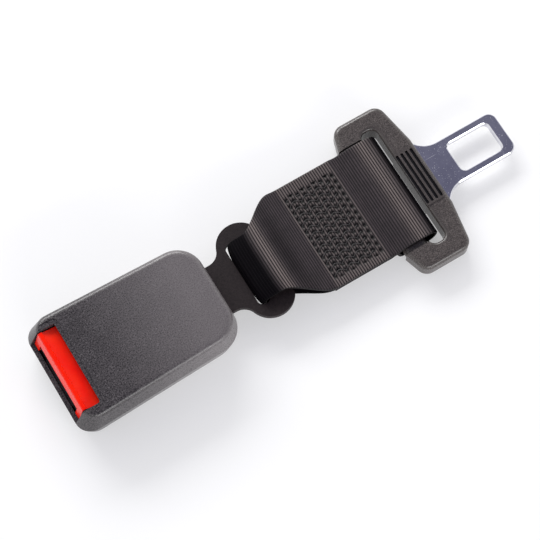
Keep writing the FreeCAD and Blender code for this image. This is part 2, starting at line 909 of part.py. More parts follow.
def grip_pad(face):
    pad_x0 = slot_right + 0.1
    middle = tongue_mid
    outer = middle + face * (cover_thickness / 2 + grip_pad_rise)
    inner = middle + face * (cover_thickness / 2 - strap_slot_rim)
    low, high = sorted((inner, outer))
    return rounded_slot(pad_x0, pad_x0 + grip_pad_length, grip_pad_width, 0.6, low, high)


def grip_grooves_shape(face):
    pad_x0 = slot_right + 0.1
    outer = tongue_mid + face * (cover_thickness / 2 + grip_pad_rise + 0.2)
    inner = tongue_mid + face * (cover_thickness / 2 + grip_pad_rise - grip_groove_depth)
    low, high = sorted((inner, outer))
    first = pad_x0 + (grip_pad_length - (grip_grooves - 1) * grip_groove_pitch) / 2
    grooves = []
    for i in range(grip_grooves):
        x = first + i * grip_groove_pitch
        grooves.append(rounded_slot(x - grip_groove_width / 2, x + grip_groove_width / 2,
                                    grip_pad_width - 1.6, grip_groove_width * 0.45, low, high))
    return grooves[0].multiFuse(grooves[1:])


def tongue_plate():
    half_blade = blade_width / 2
    half_plate = plate_width / 2
    plate_left = bar_left + 2 * plate_margin - 0.7
    lean = blade_shoulder_reach / 5.0
    shoulder_x = cover_nose + blade_shoulder_reach
    shoulder_y = half_blade + (half_plate - half_blade) * 0.4
    half = [
        (plate_left, half_plate, 3.0),
        (cover_nose - 2.9 * plate_margin, half_plate, 3.0),
        (shoulder_x - lean * (shoulder_y - half_blade), shoulder_y, 2.0),
        (shoulder_x, half_blade, blade_shoulder_radius),
        (blade_tip, half_blade, blade_corner),
    ]
    low = tongue_mid - tongue_thickness / 2
    plate = plan_solid(symmetric(half), low, low + tongue_thickness)
    slot = rounded_slot(bar_right - plate_margin, slot_right + plate_margin,
                        strap_slot_length + 2 * plate_margin, strap_slot_corner + 0.5,
                        low - 1, low + tongue_thickness + 1)
    window = rounded_slot(blade_tip - tip_bar - window_length, blade_tip - tip_bar, window_width,
                          window_corner, low - 1, low + tongue_thickness + 1)
    plate = plate.cut(slot).cut(window)
    edges = []
    for height in (low, low + tongue_thickness):
        for edge in edges_at_height(plate, height):
            if edge.BoundBox.XMin > shoulder_x:
                edges.append(edge)
    return clean(plate.makeChamfer(blade_edge_bevel, edges))


builders = {
    "upper_cover": upper_cover,
    "lower_cover": lower_cover,
    "press_button": press_button,
    "buckle_frame": buckle_frame,
    "tongue_guide": tongue_guide,
    "latch_plate": latch_plate,
    "latch_pivot_pin": latch_pivot_pin,
    "latch_spring": latch_spring,
    "ejector": ejector,
    "ejector_spring": ejector_spring,
    "button_spring_left": lambda: button_spring(1),
    "button_spring_right": lambda: button_spring(-1),
    "webbing": webbing,
    "webbing_tongue_loop": webbing_tongue_loop,
    "needle_thread": needle_thread,
    "bobbin_thread": bobbin_thread,
    "tongue_plate": tongue_plate,
    "tongue_overmould": tongue_overmould,
}

os.makedirs("parts", exist_ok=True)
for node, builder in builders.items():
    shape = builder()
    shape.translate(Vector(-total_length / 2, 0, 0))
    shape.exportStep("parts/" + node + ".step")
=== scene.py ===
import bpy
import math
import numpy as np
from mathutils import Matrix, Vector


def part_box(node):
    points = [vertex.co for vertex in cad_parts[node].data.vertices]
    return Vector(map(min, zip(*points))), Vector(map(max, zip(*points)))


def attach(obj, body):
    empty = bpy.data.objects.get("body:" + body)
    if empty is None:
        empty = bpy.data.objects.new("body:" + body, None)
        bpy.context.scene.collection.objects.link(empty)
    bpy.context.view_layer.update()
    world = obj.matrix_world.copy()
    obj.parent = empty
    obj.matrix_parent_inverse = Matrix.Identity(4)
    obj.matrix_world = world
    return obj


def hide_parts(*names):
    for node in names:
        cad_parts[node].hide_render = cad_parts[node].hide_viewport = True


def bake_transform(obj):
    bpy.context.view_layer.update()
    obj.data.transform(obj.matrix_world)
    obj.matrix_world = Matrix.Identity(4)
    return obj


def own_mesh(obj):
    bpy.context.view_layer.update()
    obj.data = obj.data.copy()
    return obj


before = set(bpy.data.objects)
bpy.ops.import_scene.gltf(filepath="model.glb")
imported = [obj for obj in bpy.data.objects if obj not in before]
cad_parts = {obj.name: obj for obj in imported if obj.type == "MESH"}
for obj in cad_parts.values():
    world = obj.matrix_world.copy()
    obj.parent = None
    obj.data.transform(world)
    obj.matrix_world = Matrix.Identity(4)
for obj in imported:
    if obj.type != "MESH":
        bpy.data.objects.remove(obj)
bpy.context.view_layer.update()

MM = 0.001
HALF_LENGTH = 103.7

# The strap from the side, in millimetres: stations from the buckle's front lip and heights
WEBBING_THICKNESS = 1.2
PLY_PITCH = 1.15
STITCHED_START = 113.1
STITCHED_END = 139.1
TOP_PLY_HEIGHT = 8.3
BEND_LINE = 141.3
BEND_HEIGHT = 7.15
FRAME_BAR_HEIGHT = 8.55
ANCHOR_LOOP_DROP = 4.1
ANCHOR_FOLD_LEFT = 84.85
ANCHOR_FOLD_FOOT = 85.75
ANCHOR_FOLD_HEAD = 85.9
ANCHOR_FOLD_TOP = 13.0
ANCHOR_CREST = 96.0
ANCHOR_CREST_HEIGHT = 13.9
LOOP_FLAT_END = 99.1
TONGUE_BAR_LEFT = 144.6
TONGUE_FOLD_RIGHT = 160.0
TONGUE_LOOP_TOP = 9.2
TONGUE_LOOP_BOTTOM = 0.8
WIDE_BEND = 8.0
FOLD_BEND = 2.2
PLY_BEND = 1.5
TONGUE_FOLD_BEND = 4.18

# The strap from above: half widths, and the stations between which it widens to them
GATHERED_HALF_WIDTH = 13.8
LEFT_HALF_WIDTH = 24.6
LEFT_WIDENING = (91.0, 110.5)
RIGHT_HALF_WIDTH = 22.9
RIGHT_WIDENING = (93.5, 114.0)
GATHERING = (90.0, 112.0)
EDGE_CURL = 0.7
EDGE_SLIP = 0.6
RIM_START = 0.985
RIM_DROP = 0.35
INNER_COLUMNS = 17

# Weave and stitching, in millimetres
RIB_PITCH = 1.08
RIB_HEIGHT = 0.26
SAMPLES_PER_RIB = 6
PIT_SPACING_X = 2.67
PIT_SPACING_Y = 3.05
PIT_RADIUS = 0.72
PIT_DEPTH = 0.8
STITCH_BOX_LENGTH = 21.3
STITCH_BOX_WIDTH = 39.2
FIRST_PIT = STITCHED_START + 2.4
STITCH_EASE = 1.5
THREAD_RADIUS = 0.14
THREAD_DIP = 0.3
THREAD_RISE = 0.1

# The tongue cover's slot rim and grip pad, in millimetres
SLOT_RIM_START = 155.2
SLOT_RIM_END = 163.7
SLOT_RIM_HALF_WIDTH = 28.5
GRIP_START = 162.0
GRIP_END = 170.4
GRIP_HALF_WIDTH = 12.7
GROOVE_HALF_WIDTH = 12.2
GROOVE_FLOOR = 8.4
GROOVE_TOP = 9.3

# Springs
WIRE_RADIUS = 0.25
STEPS_PER_TURN = 20

# The photograph's camera, in degrees, metres and millimetres of lens
CAMERA_AZIMUTH = -31.134
CAMERA_ELEVATION = 71.156
CAMERA_DISTANCE = 0.7216
CAMERA_TARGET = (-0.007, -0.00046, 0.0)
CAMERA_LENS = 121.45
CAMERA_SENSOR = 36


def row_x(station):
    """Row x in metres of a station given in millimetres from the buckle's front lip."""
    return (station - HALF_LENGTH) * MM


def smooth(low, high, value):
    """0 below low, 1 above high and an even ease between them."""
    t = np.clip((np.asarray(value, float) - low) / (high - low), 0.0, 1.0)
    return t * t * (3 - 2 * t)


# Materials

class Shader:
    """A node material that is built up one node at a time."""

    def __init__(self, name):
        self.material = bpy.data.materials.new(name)
        self.material.use_nodes = True
        self.tree = self.material.node_tree
        self.tree.nodes.clear()
        output = self.node("ShaderNodeOutputMaterial")
        self.surface = self.node("ShaderNodeBsdfPrincipled")
        self.link(self.surface.outputs["BSDF"], output.inputs["Surface"])
        self.place = self.node("ShaderNodeTexCoord").outputs["Object"]

    def node(self, kind, **settings):
        made = self.tree.nodes.new(kind)
        for name, value in settings.items():
            setattr(made, name, value)
        return made

    def link(self, source, target):
        self.tree.links.new(source, target)

    def feed(self, socket, value):
        """Link the socket to another one, or set it to a constant."""
        if isinstance(value, bpy.types.NodeSocket):
            self.link(value, socket)
        else:
            socket.default_value = value

    def set(self, **values):
        """Set inputs of the surface by their names, with _ for a space."""
        for name, value in values.items():
            self.feed(self.surface.inputs[name.replace("_", " ")], value)

    def stretched(self, scale):
        mapping = self.node("ShaderNodeMapping")
        self.link(self.place, mapping.inputs["Vector"])
        mapping.inputs["Scale"].default_value = scale
        return mapping.outputs["Vector"]

    def noise(self, size_mm, detail=2.0, roughness=0.5, scale=(1, 1, 1)):
        made = self.node("ShaderNodeTexNoise")
        self.link(self.stretched(scale), made.inputs["Vector"])
        made.inputs["Scale"].default_value = 1.0 / (size_mm * MM)
        made.inputs["Detail"].default_value = detail
        made.inputs["Roughness"].default_value = roughness
        return made.outputs["Fac"]

    def spread(self, value, low, high, out_low=0.0, out_high=1.0):
        made = self.node("ShaderNodeMapRange")
        self.link(value, made.inputs["Value"])
        made.inputs["From Min"].default_value = low
        made.inputs["From Max"].default_value = high
        made.inputs["To Min"].default_value = out_low
        made.inputs["To Max"].default_value = out_high
        return made.outputs["Result"]

    def maths(self, operation, a, b):
        made = self.node("ShaderNodeMath", operation=operation)
        self.feed(made.inputs[0], a)
        self.feed(made.inputs[1], b)
        return made.outputs["Value"]

    def mix(self, factor, a, b):
        """Colour a at factor 0 and b at factor 1, by the colour sockets of the mix node."""
        made = self.node("ShaderNodeMix", data_type="RGBA")
        self.feed(made.inputs[0], factor)
        self.feed(made.inputs[6], a)
        self.feed(made.inputs[7], b)
        return made.outputs[2]

    def attribute(self, name):
        return self.node("ShaderNodeAttribute", attribute_name=name).outputs["Fac"]

    def along(self, axis):
        split = self.node("ShaderNodeSeparateXYZ")
        self.link(self.place, split.inputs["Vector"])
        return split.outputs[axis]

    def block(self, low, high):
        """1 inside a box given by its corners in metres and 0 outside. None is no limit."""
        inside = None
        for axis, start, end in zip("XYZ", low, high):
            for limit, operation in ((start, "GREATER_THAN"), (end, "LESS_THAN")):
                if limit is None:
                    continue
                test = self.maths(operation, self.along(axis), limit)
                inside = self.maths("MULTIPLY", inside, test) if inside else test
        return inside

    def bump(self, height, distance_mm):
        made = self.node("ShaderNodeBump")
        self.link(height, made.inputs["Height"])
        made.inputs["Distance"].default_value = distance_mm * MM
        made.inputs["Strength"].default_value = 1.0
        self.link(made.outputs["Normal"], self.surface.inputs["Normal"])


def shade(colour):
    """A displayed colour, 0 to 255 a channel, as the linear one that a shader takes."""
    linear = []
    for channel in colour:
        share = channel / 255
        linear.append(share / 12.92 if channel <= 10 else ((share + 0.055) / 1.055) ** 2.4)
    return (*linear, 1.0)


def grained_plastic(s, dark, light, grain_mm, roughness, grain_height, bare=0.0):
    """The colour of a plastic with a spark-eroded grain and painted glints, evened out where bare
    is 1.
    """
    grain = s.noise(grain_mm, 3.0, 0.6)
    patches = s.noise(9.0, 2.0)
    # painted glints: small flecks paler than the grain, where light catches it
    glint_flecks = s.spread(s.noise(grain_mm * 0.9, 1.0), 0.6, 0.74)
    middle = [(a + b) / 2 for a, b in zip(dark, light)]
    glint_colour = [min(255, channel + 52) for channel in light]
    base = s.mix(s.spread(grain, 0.36, 0.64), shade(dark), shade(light))
    base = s.mix(bare, base, shade(middle))
    base = s.mix(s.maths("MULTIPLY", glint_flecks, 0.45), base, shade(glint_colour))
    base = s.mix(s.spread(patches, 0.35, 0.75, 0.0, 0.25), base, shade(dark))
    s.set(Specular_IOR_Level=0.5)
    s.set(Roughness=s.spread(grain, 0.3, 0.7, roughness - 0.07, roughness + 0.07))
    s.bump(grain, grain_height)
    return base


def cover_plastic():
    """Grained charcoal with a painted sheen that makes it paler towards the back."""
    s = Shader("CoverPlastic")
    front = grained_plastic(s, (8, 6, 8), (88, 83, 85), 0.5, 0.3, 0.06)
    # painted sheen: the colour pales towards the back end of the buckle
    rear_sheen = s.spread(s.along("X"), row_x(20), row_x(62), 0.0, 0.42)
    s.set(Base_Color=s.mix(rear_sheen, front, shade((140, 134, 135))))
    return s.material


def tongue_plastic():
    """Grained charcoal, even round the slot and on the grip pad, with painted shade on the floors
    of the grip's grooves.
    """
    s = Shader("TonguePlastic")
    rim = s.block((row_x(SLOT_RIM_START), -SLOT_RIM_HALF_WIDTH * MM, None),
                  (row_x(SLOT_RIM_END), SLOT_RIM_HALF_WIDTH * MM, None))
    pad = s.block((row_x(GRIP_START), -GRIP_HALF_WIDTH * MM, None),
                  (row_x(GRIP_END), GRIP_HALF_WIDTH * MM, None))
    bare = s.maths("MAXIMUM", rim, pad)
    base = grained_plastic(s, (48, 44, 43), (94, 87, 84), 0.38, 0.25, 0.03, bare)
    # painted shade on the floors of the grip's grooves
    groove_shade = s.block((row_x(GRIP_START), -GROOVE_HALF_WIDTH * MM, GROOVE_FLOOR * MM),
                     (row_x(GRIP_END), GROOVE_HALF_WIDTH * MM, GROOVE_TOP * MM))
    s.set(Base_Color=s.mix(groove_shade, base, shade((8, 7, 7))))
    return s.material


def guide_plastic():
    s = Shader("GuidePlastic")
    s.set(Base_Color=grained_plastic(s, (10, 10, 11), (20, 19, 20), 0.6, 0.5, 0.01))
    return s.material


def button_plastic():
    s = Shader("ButtonPlastic")
    nicks = s.spread(s.noise(1.6, 4.0, 0.7), 0.66, 0.72)
    cloudy = s.noise(7.0, 2.0)
    base = s.mix(s.spread(cloudy, 0.3, 0.7), shade((246, 16, 0)), shade((252, 36, 0)))
    base = s.mix(s.maths("MULTIPLY", nicks, 0.4), base, shade((150, 20, 8)))
    s.set(Base_Color=base, Specular_IOR_Level=0.2, Coat_Weight=0.12, Coat_Roughness=0.08)
    s.set(Roughness=s.spread(cloudy, 0.3, 0.7, 0.18, 0.26))
    s.bump(s.noise(0.8, 2.0), 0.006)
    return s.material


def frame_coating():
    s = Shader("FrameCoating")
    fine = s.noise(0.5, 3.0)
    worn = s.spread(s.noise(2.4, 5.0, 0.7), 0.6, 0.8)
    base = s.mix(s.spread(fine, 0.3, 0.7), shade((24, 17, 18)), shade((42, 34, 35)))
    base = s.mix(s.maths("MULTIPLY", worn, 0.4), base, shade((74, 63, 61)))
    s.set(Base_Color=base, Metallic=0.0, Specular_IOR_Level=0.25)
    s.set(Roughness=s.spread(fine, 0.3, 0.7, 0.48, 0.62))
    s.bump(fine, 0.012)
    return s.material


def plain_steel(name, tone, roughness):
    s = Shader(name)
    streaks = s.noise(1.2, 3.0, 0.6, (0.08, 1, 1))
    dark = shade([channel - 14 for channel in tone])
    light = shade([channel + 14 for channel in tone])
    base = s.mix(s.spread(streaks, 0.3, 0.7), dark, light)
    s.set(Base_Color=base, Metallic=1.0)
    s.set(Roughness=s.spread(streaks, 0.3, 0.7, roughness - 0.06, roughness + 0.06))
    s.bump(streaks, 0.004)
    return s.material


def plated_steel():
    s = Shader("PlatedSteel")
    clouds = s.noise(5.0, 3.0, 0.6)
    specks = s.spread(s.noise(0.55, 2.0, 0.6), 0.66, 0.72)
    scratch_field = s.noise(1.0, 2.0, 0.5, (0.05, 1.2, 1))
    scratches = s.spread(scratch_field, 0.68, 0.72)
    marks = s.maths("MAXIMUM", specks, s.maths("MULTIPLY", scratches, 0.6))
    base = s.mix(s.spread(clouds, 0.3, 0.7), shade((206, 206, 214)), shade((226, 226, 232)))
    base = s.mix(s.maths("MULTIPLY", marks, 0.5), base, shade((246, 246, 246)))
    s.set(Base_Color=base, Metallic=1.0)
    dull = s.maths("MULTIPLY", marks, 0.35)
    s.set(Roughness=s.maths("ADD", s.spread(clouds, 0.3, 0.7, 0.05, 0.1), dull))
    s.bump(clouds, 0.01)
    return s.material


def webbing_cloth():
    """Yarn with near-black painted shade between the ribs and in the pits, painted highlights
    where the crests catch light, and painted shade and highlight bands along the loops.
    """
    s = Shader("WebbingCloth")
    crest = s.attribute("crest")
    pit = s.attribute("pit")
    painted_shade = s.attribute("painted_shade")
    yarn = s.noise(0.16, 2.0, 0.6)
    patches = s.noise(6.0, 3.0, 0.6)
    # painted shade between the ribs and painted highlight on the rib crests
    base = s.mix(s.spread(crest, 0.4, 0.9), shade((2, 1, 2)), shade((60, 51, 55)))
    base = s.mix(s.spread(yarn, 0.4, 0.75, 0.0, 0.15), base, shade((86, 77, 76)))
    base = s.mix(s.spread(patches, 0.4, 0.75, 0.0, 0.4), base, shade((14, 10, 13)))
    # painted highlight bands along the loop's crest, the tongue fold and the stitched box
    painted_highlight = s.maths("MULTIPLY", s.attribute("painted_highlight"), s.spread(crest, 0.4, 0.9, 0.0, 0.7))
    base = s.mix(painted_highlight, base, shade((134, 122, 118)))
    # painted shade, with less specular, where the loop rises from the frame's slot, on the tongue
    # fold's tucked flank and in the hollow after the crest
    base = s.mix(s.maths("MULTIPLY", painted_shade, 0.94), base, shade((6, 5, 8)))
    # painted shade in the stitch pits
    base = s.mix(pit, base, shade((4, 3, 4)))
    s.set(Base_Color=base, Specular_IOR_Level=s.spread(painted_shade, 0.0, 1.0, 0.3, 0.04))
    s.set(Roughness=s.spread(yarn, 0.3, 0.7, 0.5, 0.68))
    s.bump(yarn, 0.04)
    return s.material


def sewing_thread():
    s = Shader("SewingThread")
    twist = s.noise(0.22, 2.0, 0.6)
    base = s.mix(s.spread(twist, 0.3, 0.7), shade((20, 17, 19)), shade((58, 51, 52)))
    s.set(Base_Color=base, Specular_IOR_Level=0.5, Sheen_Weight=0.2)
    s.set(Roughness=s.spread(twist, 0.3, 0.7, 0.4, 0.55))
    s.bump(twist, 0.03)
    return s.material


def paint_nodes():
    """Give each CAD node that stays visible its material."""
    steel = plain_steel("ZincSteel", (170, 170, 172), 0.35)
    cover = cover_plastic()
    guide = guide_plastic()
    by_node = {
        "upper_cover": cover,
        "lower_cover": cover,
        "press_button": button_plastic(),
        "buckle_frame": frame_coating(),
        "tongue_guide": guide,
        "ejector": guide,
        "latch_plate": steel,
        "latch_pivot_pin": steel,
        "tongue_plate": plated_steel(),
        "tongue_overmould": tongue_plastic(),
    }
    for node, material in by_node.items():
        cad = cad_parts[node]
        cad.data.materials.clear()
        cad.data.materials.append(material)


# Webbing

def line_run(start, end):
    """A straight run: its length, and its point and heading at a share t of it."""
    length = np.linalg.norm(end - start)
    return length, lambda t: (start + (end - start) * t, (end - start) / length)


def arc_run(start, end, centre, radius, sweep):
    """A rounded corner, given back in the same way."""
    first = start - centre
    last = end - centre
    turn = math.atan2(first[0] * last[1] - first[1] * last[0], first @ last)

    def place(t):
        angle = math.atan2(first[1], first[0]) + turn * t
        point = centre + radius * np.array([math.cos(angle), math.sin(angle)])
        heading = math.copysign(1, turn) * np.array([-math.sin(angle), math.cos(angle)])
        return point, heading

    return radius * sweep, place


def filleted_path(corners, step):
    """Points and left-hand normals every step along a path of (x, z, radius) corners."""
    places = [np.array(corner[:2], float) for corner in corners]
    runs = []
    position = places[0]
    for i in range(1, len(corners) - 1):
        back = places[i - 1] - places[i]
        ahead = places[i + 1] - places[i]
        back /= np.linalg.norm(back)
        ahead /= np.linalg.norm(ahead)
        opening = math.acos(np.clip(back @ ahead, -1, 1))
        radius = corners[i][2]
        reach = radius / math.tan(opening / 2)
        start = places[i] + back * reach
        end = places[i] + ahead * reach
        inward = (back + ahead) / np.linalg.norm(back + ahead)
        centre = places[i] + inward * (radius / math.sin(opening / 2))
        runs.append(line_run(position, start))
        runs.append(arc_run(start, end, centre, radius, math.pi - opening))
        position = end
    runs.append(line_run(position, places[-1]))
    points, normals = [], []
    left_over = 0.0
    for length, place in runs:
        at = left_over
        while at < length:
            point, heading = place(at / length)
            points.append(point)
            normals.append((-heading[1], heading[0]))
            at += step
        left_over = at - length
    return np.array(points), np.array(normals)


def strap_path():
    """The cloth's middle surface seen from the side, from one cut end to the other."""
    middle = TOP_PLY_HEIGHT - PLY_PITCH
    low = middle - PLY_PITCH
    loop_low = FRAME_BAR_HEIGHT - ANCHOR_LOOP_DROP
    neck_high = BEND_HEIGHT + PLY_PITCH / 2
    neck_low = BEND_HEIGHT - PLY_PITCH / 2
    neck_start = BEND_LINE - 0.4
    # Each corner is a station, a height and the radius that rounds it
    return filleted_path([
        (STITCHED_END, middle, 0),
        (STITCHED_START, middle, WIDE_BEND),
        (LOOP_FLAT_END, loop_low, WIDE_BEND),
        (ANCHOR_FOLD_FOOT, loop_low, FOLD_BEND),
        (ANCHOR_FOLD_LEFT, FRAME_BAR_HEIGHT, WIDE_BEND),
        (ANCHOR_FOLD_HEAD, ANCHOR_FOLD_TOP, FOLD_BEND),
        (ANCHOR_CREST, ANCHOR_CREST_HEIGHT, 7.0),
        (STITCHED_START, TOP_PLY_HEIGHT, 12.0),
        (STITCHED_END, TOP_PLY_HEIGHT, PLY_BEND),
        (neck_start, neck_high, PLY_BEND),
        (BEND_LINE + 1.2, neck_high, PLY_BEND),
        (TONGUE_BAR_LEFT + 3.0, TONGUE_LOOP_TOP, 2.0),
        (TONGUE_FOLD_RIGHT, TONGUE_LOOP_TOP, TONGUE_FOLD_BEND),
        (TONGUE_FOLD_RIGHT, TONGUE_LOOP_BOTTOM, TONGUE_FOLD_BEND),
        (TONGUE_BAR_LEFT - 0.4, TONGUE_LOOP_BOTTOM, FOLD_BEND),
        (BEND_LINE + 0.8, neck_low, 1.0),
        (neck_start, neck_low, PLY_BEND),
        (STITCHED_END, low, PLY_BEND),
        (STITCHED_START, low, 0),
    ], RIB_PITCH / SAMPLES_PER_RIB)


def half_width(x, side):
    """The strap's reach to one side at a station: narrow where the frame's slot gathers it."""
    full, widening = RIGHT_HALF_WIDTH, RIGHT_WIDENING
    if side > 0:
        full, widening = LEFT_HALF_WIDTH, LEFT_WIDENING
    return GATHERED_HALF_WIDTH + (full - GATHERED_HALF_WIDTH) * smooth(*widening, x)


def across_strap(x, v):
    """Places across the strap for v from -1 at its -Y edge to 1 at its +Y edge."""
    return np.where(v > 0, half_width(x, 1)[:, None], half_width(x, -1)[:, None]) * v


def pits_at(x, y):
    """How far the stitches pull the cloth in, 0 to 1, at stations x and places y."""
    column = (x - FIRST_PIT) / PIT_SPACING_X
    near = np.round(column)
    offset = np.where(near % 2 == 0, 0.0, 0.5)
    across = y / PIT_SPACING_Y + offset
    dx = (column - near) * PIT_SPACING_X
    dy = (across - np.round(across)) * PIT_SPACING_Y
    depth = np.exp(-(dx ** 2 * 1.2 + dy ** 2) / (2 * PIT_RADIUS ** 2))
    centre = (STITCHED_START + STITCHED_END) / 2
    in_length = np.abs(x - centre) < STITCH_BOX_LENGTH / 2 + 0.6
    in_width = np.abs(y) < STITCH_BOX_WIDTH / 2 + 0.4
    return np.where(in_length & in_width, depth, 0.0)


def strap_columns():
    """Places across the strap from -1 to 1, closest together at its edges."""
    inner = np.linspace(-0.82, 0.82, 131)
    edge = np.array([0.85, 0.88, 0.91, 0.94, 0.965, 0.985, 0.995, 1.0])
    return np.concatenate([-edge[::-1], inner, edge])


def sheet_faces(rows, outer_columns, inner_columns):
    """Faces of a closed sheet whose outer grid of vertices is followed by its inner grid."""
    base = rows * outer_columns

    def quads(first, columns):
        i, j = np.meshgrid(np.arange(rows - 1), np.arange(columns - 1), indexing="ij")
        a = first + i * columns + j
        return np.stack([a, a + 1, a + columns + 1, a + columns], axis=-1).reshape(-1, 4)

    def end(row):
        outer = range(row * outer_columns, (row + 1) * outer_columns)
        inner = range(base + row * inner_columns, base + (row + 1) * inner_columns)
        return [*outer, *reversed(inner)]

    outer_low = np.arange(rows - 1) * outer_columns
    inner_low = base + np.arange(rows - 1) * inner_columns
    outer_high = outer_low + outer_columns - 1
    inner_high = inner_low + inner_columns - 1
    low_side = [outer_low, outer_low + outer_columns, inner_low + inner_columns, inner_low]
    high_side = [outer_high, inner_high, inner_high + inner_columns, outer_high + outer_columns]
    faces = np.concatenate([
        quads(0, outer_columns)[:, ::-1],
        quads(base, inner_columns),
        np.stack(low_side, axis=-1),
        np.stack(high_side, axis=-1),
    ])
    return faces.tolist() + [end(0)[::-1], end(rows - 1)]


def weave_layers(x, v, crest, rim, pit, stitched):
    """What the cloth's material reads, outside as a grid and inside as one value."""
    # painted shade where the anchor loop rises from the frame's slot, on the tongue fold's tucked
    # flank and in the hollow after the loop's crest
    rising_shade = 1 - smooth(91.5, 95.5, x)
    tucked_shade = smooth(156.6, 158.6, x)
    hollow_shade = 0.5 * np.exp(-((x - 103.5) / 3.4) ** 2)
    # painted highlights along the anchor loop's crest, along the tongue fold and on the rib
    # crests of the stitched box
    crest_highlight = np.exp(-((x - 97.0) / 2.3) ** 2)
    fold_highlight = 0.9 * np.exp(-((x - 153.4) / 3.0) ** 2)
    return {
        # crest and pit also carry the painted shade between the ribs and in the stitch pits
        "crest": (crest * (1 - 0.3 * rim), 0.6),
        "pit": (np.clip(pit * 1.8, 0, 1), 0.0),
        "painted_shade": (np.maximum(rising_shade, tucked_shade) + hollow_shade * (1 - 0.6 * v ** 2), 0.5),
        "painted_highlight": (crest_highlight + fold_highlight + 0.6 * stitched, 0.0),
    }


def webbing_mesh():
    """The cloth as one closed mesh, ribbed and pitted outside and plain inside."""
    points, normals = strap_path()
    stations = points[:, 0]
    x = stations[:, None]
    v = strap_columns()[None, :]
    inner_v = np.linspace(-1, 1, INNER_COLUMNS)[None, :]
    rib = np.arange(len(points)) / SAMPLES_PER_RIB
    crest = np.abs(np.cos(math.pi * rib))[:, None]
    gathered = 1 - smooth(*GATHERING, x)
    stitched = np.minimum(smooth(STITCHED_START, STITCHED_START + STITCH_EASE, x),
                          1 - smooth(STITCHED_END - STITCH_EASE, STITCHED_END, x))
    rim = np.clip((np.abs(v) - RIM_START) / (1 - RIM_START), 0, 1)
    face = WEBBING_THICKNESS / 2 - RIM_DROP * rim ** 2
    relief = RIB_HEIGHT * (crest - 0.6) * (1 - 0.7 * rim)
    pit = pits_at(x, across_strap(stations, v)) * stitched

    def layer(offset, v_row):
        curl = gathered * np.abs(v_row) ** 4
        lift = offset - EDGE_CURL * curl
        return np.stack([
            x + normals[:, 0:1] * lift + EDGE_SLIP * curl,
            across_strap(stations, v_row),
            points[:, 1:2] + normals[:, 1:2] * lift,
        ], axis=-1).reshape(-1, 3)

    outside = layer(face + relief - PIT_DEPTH * pit, v)
    inside = layer(-WEBBING_THICKNESS / 2, inner_v)
    vertices = np.concatenate([outside, inside])
    vertices[:, 0] -= HALF_LENGTH
    vertices *= MM
    mesh = bpy.data.meshes.new("webbing_cloth")
    mesh.from_pydata(vertices.tolist(), [], sheet_faces(len(points), v.size, inner_v.size))
    for name, (values, inner_value) in weave_layers(x, v, crest, rim, pit, stitched).items():
        grid = np.broadcast_to(values, (len(points), v.size))
        inner_values = np.full(len(inside), inner_value)
        attribute = mesh.attributes.new(name, "FLOAT", "POINT")
        attribute.data.foreach_set(
            "value", np.concatenate([grid.ravel(), inner_values]).astype(np.float32))
    mesh.polygons.foreach_set("use_smooth", np.ones(len(mesh.polygons), bool))
    mesh.update()
    return mesh


def make_webbing():
    cloth = bpy.data.objects.new("webbing_cloth", webbing_mesh())
    bpy.context.scene.collection.objects.link(cloth)
    cloth.data.materials.append(webbing_cloth())
    points, _ = strap_path()
    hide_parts("webbing", "webbing_tongue_loop")
    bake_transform(cloth)


# Stitching

def wire_curve(name, paths, radius, resolution):
    """Closed round wires along lists of points, all in metres."""
    curve = bpy.data.curves.new(name, "CURVE")
    curve.dimensions = "3D"
    curve.bevel_depth = radius
    curve.bevel_resolution = resolution
    curve.use_fill_caps = True
    for path in paths:
        spline = curve.splines.new("POLY")
        spline.points.add(len(path) - 1)
        for point, place in zip(spline.points, path):
            point.co = (*place, 1)
    return curve


def stitch_place(row, column):
    """Where the stitch of a row dips at a column: every second column is half a pitch off."""
    shift = 0.0 if column % 2 == 0 else 0.5
    return FIRST_PIT + column * PIT_SPACING_X, (row + shift) * PIT_SPACING_Y


def stitch_paths(height, side):
    """Zigzag rows along the strap: each stitch rises from one pit and dips into the next."""
    paths = []
    columns = int(STITCH_BOX_LENGTH / PIT_SPACING_X) + 1
    rows = int(STITCH_BOX_WIDTH / PIT_SPACING_Y)
    for row in range(-(rows // 2), rows // 2 + 1):
        path = []
        for column in range(columns):
            x, y = stitch_place(row, column)
            if abs(y) > STITCH_BOX_WIDTH / 2:
                continue
            path.append((x, y, height - side * THREAD_DIP))
            next_x, next_y = stitch_place(row, column + 1)
            if column == columns - 1 or abs(next_y) > STITCH_BOX_WIDTH / 2:
                continue
            for share in (0.25, 0.75):
                path.append((x + (next_x - x) * share, y * (1 - share) + next_y * share,
                             height + side * THREAD_RISE))
        if len(path) > 1:
            paths.append([(row_x(x), y * MM, z * MM) for x, y, z in path])
    return paths


def make_stitching(name, node, height, side, material):
    curve = wire_curve(name, stitch_paths(height, side), THREAD_RADIUS * MM, 1)
    thread = bpy.data.objects.new(name, curve)
    bpy.context.scene.collection.objects.link(thread)
    curve.materials.append(material)
    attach(thread, "strap")
    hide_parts(node)


# Springs

